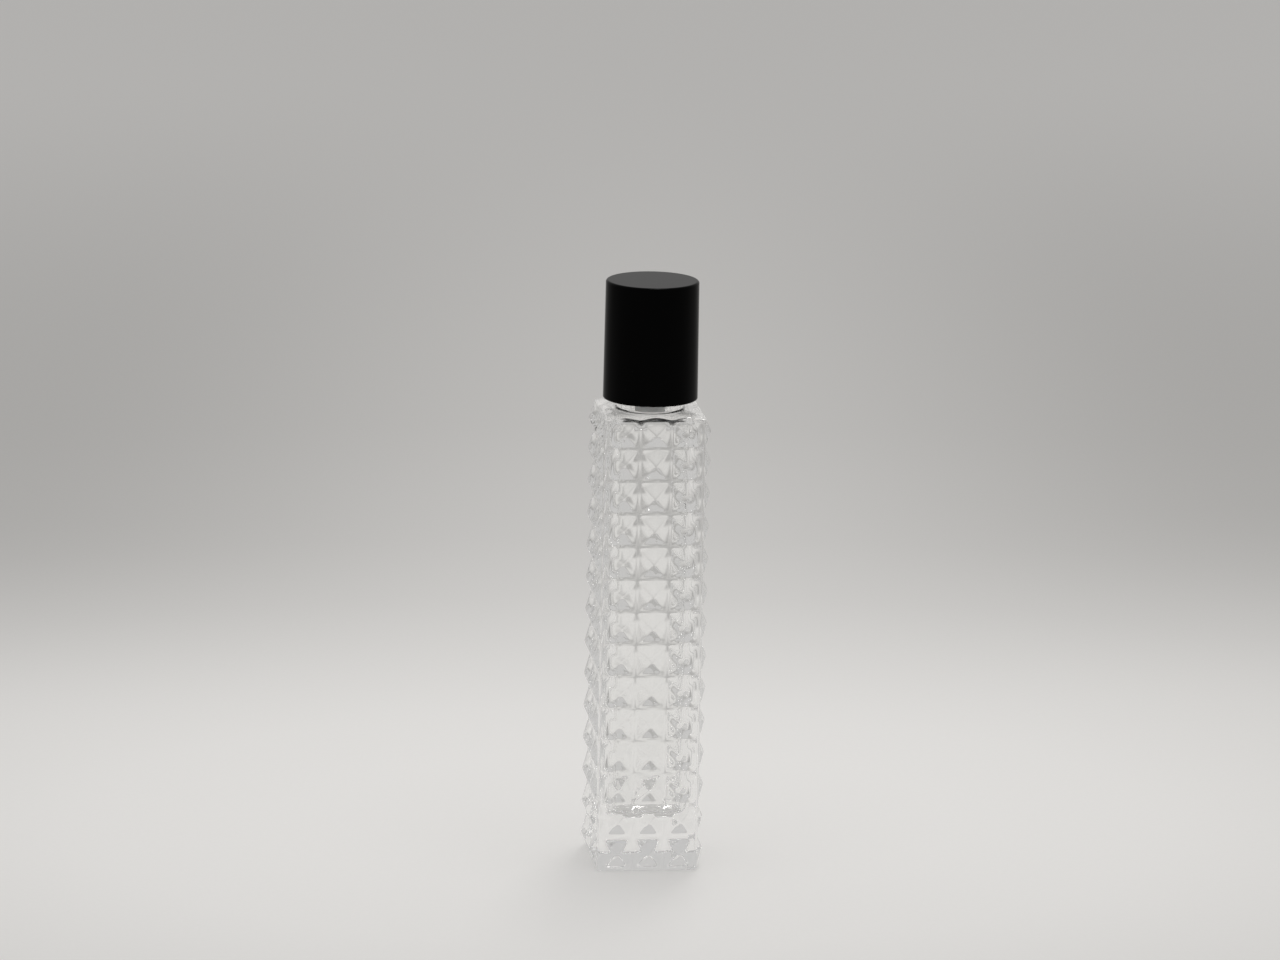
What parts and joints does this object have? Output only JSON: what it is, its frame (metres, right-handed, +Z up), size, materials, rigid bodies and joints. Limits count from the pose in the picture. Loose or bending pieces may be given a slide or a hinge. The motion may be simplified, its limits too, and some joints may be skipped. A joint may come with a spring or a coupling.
{
  "type": "aftershave bottle",
  "caption": "Slender square glass aftershave bottle with diamond-point studded faces, a threaded neck with an orifice reducer, and a tall round screw cap.",
  "frame": {"origin": "centre of the bottle's flat base", "axes": "+Z up the bottle's axis, out of the neck; +X and +Y are the normals of two neighbouring studded faces"},
  "size_m": [0.027, 0.027, 0.1384],
  "materials": {
    "clear_glass": "fire-polished, clear, colourless",
    "natural_polyethylene": "translucent natural low-density polyethylene, satin",
    "liner_foam": "closed-cell polyethylene foam, matt white",
    "insert_polypropylene": "moulded black polypropylene, satin",
    "black_gloss_plastic": "high gloss black"
  },
  "bodies": {
    "glass_bottle": {"bottle": "clear_glass", "orifice_reducer": "natural_polyethylene"},
    "liner": {"cap_liner": "liner_foam"},
    "cap": {"cap_shell": "black_gloss_plastic", "cap_insert": "insert_polypropylene"}
  },
  "joints": [
    {"name": "cap_lift", "type": "slide", "parent": "glass_bottle", "child": "liner", "axis": [0, 0, 1], "range_m": [0, 0.01588]},
    {"name": "cap_turn", "type": "hinge", "parent": "liner", "child": "cap", "pos_m": [0, 0, 0.1245], "axis": [0, 0, 1], "range_deg": [0, 1800]}
  ],
  "couplings": [
    {"joint": "cap_lift", "follows": "cap_turn", "m_per_rad": 0.00050532}
  ]
}
